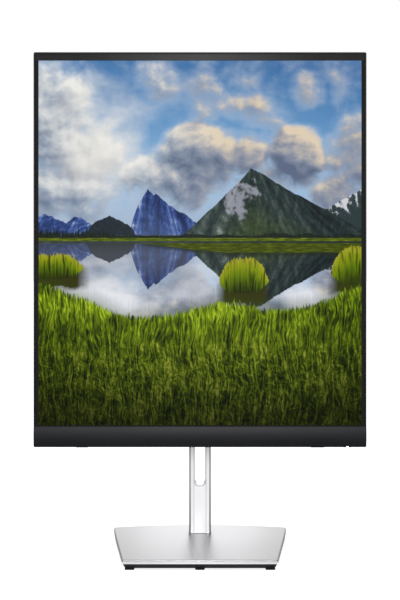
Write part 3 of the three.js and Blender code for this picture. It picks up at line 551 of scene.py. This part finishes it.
def landscape(t, x, y):
    """The whole picture: sky, mountains, lake, a tongue of marsh, clumps of reeds and long grass."""
    strip = marsh(t, x, y)
    picture = lake(t, x, y, strip)
    comb = t.noise(t.join(x * 180.0, 0.0, 1.0), 1.0, 3.0, 0.75) - 0.5
    wander = t.noise(t.join(x * 7.0, y * 8.0, 4.4), 1.0, 3.0, 0.55) - 0.5
    ragged = t.noise(t.join(x * 30.0, y * 30.0, 6.6), 1.0, 3.0, 0.6) - 0.5

    tongue_low = 0.500 + (x - 0.24).over(0.0, 0.30) * 0.028 + wander * 0.014
    tongue = (y - 0.5005).over(-0.001, 0.001) * (tongue_low - y).over(-0.001, 0.001)
    picture = t.mix(tongue, picture, t.mix(0.45, strip, srgb(30, 38, 0)))
    under_tongue = (y - tongue_low).over(-0.001, 0.0) * (tongue_low + 0.012 - y).over(0.0, 0.010)
    picture = t.mix(under_tongue * 0.6 * (x - 0.26).over(0.0, 0.05), picture, srgb(30, 38, 20))

    for clump in CLUMPS:
        picture = reed_clump(t, x, y, picture, clump, comb, wander, ragged)

    bank = (0.682 + wander * 0.05 + comb * 0.085 + ragged * 0.02
            - tent(x, -0.02, 0.22, 0.090, 1.0) - tent(x, 0.92, 0.17, 0.090, 0.9)
            + tent(x, 0.30, 0.18, 0.016, 1.0) - tent(x, 0.50, 0.09, 0.026, 1.0))
    rim = (bank - y).over(0.045, -0.004)
    picture = t.mix(rim * (comb * 1.6 + 0.55).clip() * 0.85, picture, srgb(52, 66, 14))
    return t.mix((y - bank).over(-0.002, 0.006), picture, grass(t, x, y))


def screen_material():
    """A lit panel: the picture in the middle, a dark border round it with a painted highlight towards its
    middle, and a dull front surface.
    """
    t = material_tree("screen_picture")
    across, _, height = t.split(t.coords())
    down = PICTURE_TOP - height
    soft = 0.0002  # half the width over which the picture's edges fade
    inside = (across.abs() * -1.0 + PICTURE_W / 2).over(-soft, soft) * down.over(-soft, soft)
    inside = inside * (PICTURE_H - down).over(-soft, soft)
    picture = landscape(t, (across + PICTURE_W / 2) / PICTURE_H, down / PICTURE_H)
    haze = t.noise(t.coords(), 40.0, 2.0, 0.5)
    # Painted highlight: outside the top border, the border is painted lighter towards the middle across,
    # with a little noise.
    painted_sheen = across.abs().over(0.19, 0.0) * 0.8 + haze * 0.2
    top_border = (down + 2 * soft).over(soft, -soft)
    border = t.mix(top_border, grey(27), t.mix(painted_sheen, grey(34), grey(70)))
    black = (0.0, 0.0, 0.0)
    t.set(color=t.mix(inside, border, black), rough=haze * 0.06 + 0.37, specular=0.03,
          emission=t.mix(inside, black, picture), glow=1.0)
    return t.material


# ---- Finishes ----
def moulded(name, colour, rough, grain, depth, specular):
    """Moulded plastic with a fine texture: finer with a larger grain, deeper with a larger depth."""
    t = material_tree(name)
    spots = t.noise(t.coords(), grain, 3.0, 0.6)
    cloud = t.noise(t.coords(), 14.0, 3.0, 0.5)
    t.set(color=t.mix((cloud * 0.5 + spots * 0.5).over(0.35, 0.65), dimmed(colour, 0.86), colour),
          rough=cloud * 0.08 + rough - 0.04, specular=specular)
    t.bump(spots, depth)
    return t.material


def silver_paint(name, metal, painted_shading=None):
    """Fine metallic paint under a thin clear coat. A further function may paint shade onto its colour."""
    t = material_tree(name)
    flakes = t.cells(t.coords(), 3800.0, output="Color")
    cloud = t.noise(t.coords(), 18.0, 3.0, 0.5)
    colour = t.mix(flakes * 0.5 + cloud * 0.5, srgb(240, 240, 242), srgb(250, 250, 252))
    if painted_shading:
        colour = painted_shading(t, colour)
    t.set(color=colour, rough=cloud * 0.06 + 0.33, metal=metal, coat=0.25, coat_rough=0.22)
    t.bump(t.noise(t.coords(), 2600.0, 2.0, 0.5), 0.000008)
    return t.material


def column_painted_shade(t, colour):
    """Painted shade on the groove's slopes and on the column's edges, darker low down, and a painted shadow
    line round the cable hole's lower rim.
    """
    x, y, z = t.split(t.coords())
    # Painted shade: the groove's slopes are painted darker.
    slope = (x.abs() - GROOVE_X).abs().over(0.0018, 0.0006) * (y - COLUMN_FRONT).over(0.0004, 0.0)
    colour = t.mix(slope * 0.55, colour, srgb(212, 210, 212))
    # Painted shade: the rounded edges are painted darker, and darker still low down.
    edge = t.mix(z.over(0.03, 0.11), srgb(134, 133, 136), srgb(172, 171, 173))
    colour = t.mix(x.abs().over(COLUMN_EDGE, COLUMN_EDGE + 0.0009), colour, edge)
    # Painted shadow: a thin dark line round the cable hole's lower rim, also on its wall just inside.
    down = (HOLE_CORNER_Z - z).max(0.0)
    out = (x.abs() - HOLE_CORNER_X).max(0.0)
    past_rim = (down * down + out * out) ** 0.5 - HOLE_CORNER_RADIUS
    rim = (past_rim - 0.0002).abs().over(0.0009, 0.0004) * (COLUMN_FRONT + 0.0035 - y).over(-0.0010, 0.0)
    return t.mix(rim * 0.75, colour, srgb(150, 149, 152))


def brushed_metal(colour):
    """The base's metal, brushed from side to side. Its top has painted shade towards the front corners; its
    chamfer has painted shade and its edge faces a painted highlight.
    """
    t = material_tree("brushed_metal")
    x, y, z = t.split(t.coords())
    streaks = t.noise(t.join(x * 6.0, y * 2400.0, z * 2400.0), 1.0, 3.0, 0.6)
    cloud = t.noise(t.coords(), 9.0, 2.0, 0.5)
    middle = x.abs().over(0.125, 0.015)
    # Painted shade: the top is painted darker towards the front and the sides, most at the front corners.
    corner_shade = (1.0 - middle * 0.65) * (y.over(0.09, -0.10) * 0.7 + 0.3)
    top = t.mix(corner_shade, t.mix(streaks.over(0.3, 0.7), dimmed(colour, 0.93), colour), dimmed(colour, 0.78))
    # Painted shade and highlight: the chamfer is painted darker and the faces round the edge lighter, each
    # lighter in the middle.
    bevel_shade = t.mix(middle, srgb(146, 146, 148), srgb(159, 159, 161))
    side = t.mix(middle, srgb(222, 222, 224), srgb(244, 244, 246))
    drop = BASE_TOP - z
    shade = t.mix(drop.over(0.0002, 0.0006), top, bevel_shade)
    t.set(color=t.mix(drop.over(0.0026, 0.0036), shade, side), metal=0.92, tint=(0.62, 0.62, 0.62),
          rough=streaks * 0.06 + cloud * 0.04 + 0.25, anisotropy=0.75, tangent=t.join(1.0, 0.0, 0.0))
    t.bump(streaks, 0.000004)
    return t.material


def rolled_steel(name, colour, rough=0.34, spangle=0.0):
    """Bare steel, or zinc-plated steel with a spangle."""
    t = material_tree(name)
    x, y, z = t.split(t.coords())
    lines = t.noise(t.join(x * 900.0, y * 900.0, z * 40.0), 1.0, 3.0, 0.6)
    cloud = t.noise(t.coords(), 30.0, 4.0, 0.6)
    flowers = t.cells(t.coords(), 160.0, output="Color")
    tone = lines * (0.6 - spangle * 0.4) + cloud * 0.4 + flowers * (spangle * 0.4)
    t.set(color=t.mix(tone.over(0.25, 0.75), dimmed(colour, 0.72), colour), metal=1.0,
          rough=tone * 0.14 + rough - 0.07)
    t.bump(lines, 0.000010)
    return t.material


def rubber():
    t = material_tree("rubber")
    grain = t.noise(t.coords(), 1500.0, 4.0, 0.7)
    t.set(color=t.mix(grain, grey(18), grey(34)), rough=grain * 0.12 + 0.78, specular=0.25)
    t.bump(grain, 0.00008)
    return t.material


def white_plastic():
    t = material_tree("white_plastic")
    colour = srgb(232, 232, 229)
    cloud = t.noise(t.coords(), 60.0, 4.0, 0.6)
    t.set(color=t.mix(cloud, dimmed(colour, 0.9), colour), rough=cloud * 0.1 + 0.4)
    t.bump(cloud, 0.00002)
    return t.material


def clear_acrylic():
    t = material_tree("clear_plastic")
    dots = t.cells(t.coords(), 900.0)
    t.set(color=t.mix(dots.over(0.2, 0.5), srgb(255, 255, 255), srgb(214, 226, 232)),
          rough=dots * 0.10 + 0.05, ior=1.49, glass=0.85)
    return t.material


def ribbon():
    """Flat cable: many thin wires side by side."""
    t = material_tree("ribbon_cable")
    x = t.split(t.coords())[0]
    groove = (t.math("FRACT", x * 800.0) - 0.5).abs()
    t.set(color=t.mix(groove.over(0.3, 0.5), srgb(226, 226, 222), srgb(168, 170, 172)),
          rough=groove * 0.1 + 0.45)
    t.bump(groove * -1.0, 0.0002)
    return t.material


def circuit_board(name, face):
    """Green solder mask with fine tracks. Blocks that stand over the face, a y, are dark chips."""
    t = material_tree(name)
    x, y, z = t.split(t.coords())
    lanes_x = (t.math("FRACT", x * 260.0) - 0.5).abs()
    lanes_z = (t.math("FRACT", z * 260.0) - 0.5).abs()
    upright = t.cells(t.join(x, 0.0, z), 90.0, output="Color").over(0.48, 0.52)
    lanes = t.mix(upright, t.join(lanes_x, lanes_x, lanes_x), t.join(lanes_z, lanes_z, lanes_z))
    track = Num(t, lanes).over(0.30, 0.36)
    pads = t.cells(t.join(x, 0.0, z), 420.0).over(0.16, 0.12)
    green = t.mix(track, srgb(14, 74, 42), srgb(30, 108, 62))
    board = t.mix(pads * 0.6, green, srgb(206, 190, 132))
    chip = (y - face).over(0.0001, 0.0002)
    grain = t.noise(t.coords(), 1200.0, 3.0, 0.6)
    t.set(color=t.mix(chip, board, t.mix(grain, grey(18), grey(34))), rough=grain * 0.15 + 0.35)
    t.bump(track * 0.4 + pads, 0.00003)
    return t.material


def lit(name, strength):
    """A lit lamp behind a slightly uneven diffuser."""
    t = material_tree(name)
    cloud = t.noise(t.coords(), 700.0, 3.0, 0.5)
    t.set(color=(0.9, 0.9, 0.9), rough=cloud * 0.1 + 0.3,
          emission=t.mix(cloud, srgb(222, 232, 246), (1.0, 1.0, 1.0)), glow=strength)
    return t.material


# Each moulded plastic is (colour, roughness, grain, depth of the grain in metres, specular).
PLASTICS = {
    "bezel_plastic": (srgb(21, 22, 26), 0.42, 1400.0, 0.00001, 0.15),
    "cover_plastic": (srgb(40, 41, 44), 0.58, 700.0, 0.00010, 0.4),
    "dark_plastic": (srgb(20, 20, 23), 0.5, 1100.0, 0.00004, 0.35),
}
BY_SLOT = {name: moulded(name, *values) for name, values in PLASTICS.items()} | {
    "white_plastic": white_plastic(),
    "clear_plastic": clear_acrylic(),
    "rubber": rubber(),
    "silver_paint": silver_paint("silver_paint", metal=0.35),
    "brushed_metal": brushed_metal(srgb(190, 189, 191)),
    "steel": rolled_steel("steel", srgb(168, 170, 174)),
    "plated_steel": rolled_steel("plated_steel", srgb(206, 208, 212), rough=0.28, spangle=1.0),
    "screen": screen_material(),
}
# Some pieces have a look of their own. Chips stand on a board's rear face, past its thickness.
# The column's paint, with painted shade on its groove, its edges and round its cable hole.
COLUMN_PAINT = silver_paint("column_paint", metal=0.08, painted_shading=column_painted_shade)
PAST_BOARD = {"main_board": 0.0017, "power_board": 0.0017, "timing_board": 0.0015}
NO_CHIPS = 1.0  # a face that lies behind everything
BY_NODE = {
    "column_foot": COLUMN_PAINT,
    "column_tube": COLUMN_PAINT,
    "panel_tray": rolled_steel("tray_steel", srgb(58, 59, 62), rough=0.5),
    "power_light": lit("power_light", 1.3),
    "led_strip": lit("led_strip", 3.0),
    "ribbon_cable": ribbon(),
    "button_board": circuit_board("button_board", NO_CHIPS),
}
for board, rear_face in PAST_BOARD.items():
    BY_NODE[board] = circuit_board(board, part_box(board)[0][1] + rear_face)


# ---- Edges: every piece is welded and gets smooth curves; most also get merged faces and fine rounded edges ----
def smoothing_group(name, angle):
    """A modifier tree that shades curves smooth and keeps edges sharper than an angle."""
    tree = bpy.data.node_groups.new(name, "GeometryNodeTree")
    tree.interface.new_socket("Geometry", in_out="INPUT", socket_type="NodeSocketGeometry")
    tree.interface.new_socket("Geometry", in_out="OUTPUT", socket_type="NodeSocketGeometry")
    nodes, links = tree.nodes, tree.links
    start, end = nodes.new("NodeGroupInput"), nodes.new("NodeGroupOutput")
    merge = nodes.new("GeometryNodeMergeByDistance")
    merge.inputs["Distance"].default_value = 1e-6
    bend = nodes.new("GeometryNodeInputMeshEdgeAngle")
    sharp = nodes.new("FunctionNodeCompare")
    sharp.data_type = "FLOAT"
    sharp.operation = "GREATER_THAN"
    sharp.inputs["B"].default_value = angle
    links.new(bend.outputs["Unsigned Angle"], sharp.inputs["A"])
    normals = nodes.new("GeometryNodeSetMeshNormal")
    normals.mode = "SHARPNESS"
    normals.inputs["Remove Custom"].default_value = True
    links.new(start.outputs[0], merge.inputs["Geometry"])
    links.new(merge.outputs["Geometry"], normals.inputs["Mesh"])
    links.new(sharp.outputs["Result"], normals.inputs["Edge Sharpness"])
    links.new(normals.outputs["Mesh"], end.inputs[0])
    return tree


WELD = smoothing_group("weld", math.radians(20))
SMOOTH = smoothing_group("smooth", math.radians(50))


def finish_edges(obj, width):
    """Rounds an object's hard edges by a width in metres. A width of 0 only smooths its curves."""
    obj.modifiers.new("weld", "NODES").node_group = WELD
    if width:
        flat = obj.modifiers.new("flat", "DECIMATE")
        flat.decimate_type = "DISSOLVE"
        flat.angle_limit = math.radians(0.5)
        edge = obj.modifiers.new("edge", "BEVEL")
        edge.width = width
        edge.segments = 2
        edge.limit_method = "ANGLE"
        edge.angle_limit = math.radians(40)
        edge.use_clamp_overlap = True
    obj.modifiers.new("smooth", "NODES").node_group = SMOOTH
    if width:
        weigh = obj.modifiers.new("weigh", "WEIGHTED_NORMAL")
        weigh.keep_sharp = True


# How wide the fine rounded edges are. Thin or finely detailed pieces have narrower ones.
USUAL_EDGE = 0.0003
EDGES = {
    "base_pan": 0.0006, "stand_plate": 0.0002, "housing_cover": 0.0002, "rear_cover": 0.0002,
    "data_port_1": 0.0001, "data_port_2": 0.0001, "data_port_small": 0.0001, "video_port_wide": 0.0001,
    "video_port_slim": 0.0001, "power_light": 0.0001, "torsion_spring": 0.0, "ribbon_cable": 0.0,
    "lcd_cell": 0.0, "diffuser_films": 0.0, "reflector_sheet": 0.0, "light_guide_plate": 0.0,
}

for part in frame["record"]["subparts"]:
    node = NODES[part["node"]]
    node.data.materials.clear()
    node.data.materials.append(BY_NODE.get(part["node"]) or BY_SLOT[part["material_slot"]])
    finish_edges(node, EDGES.get(part["node"], USUAL_EDGE))
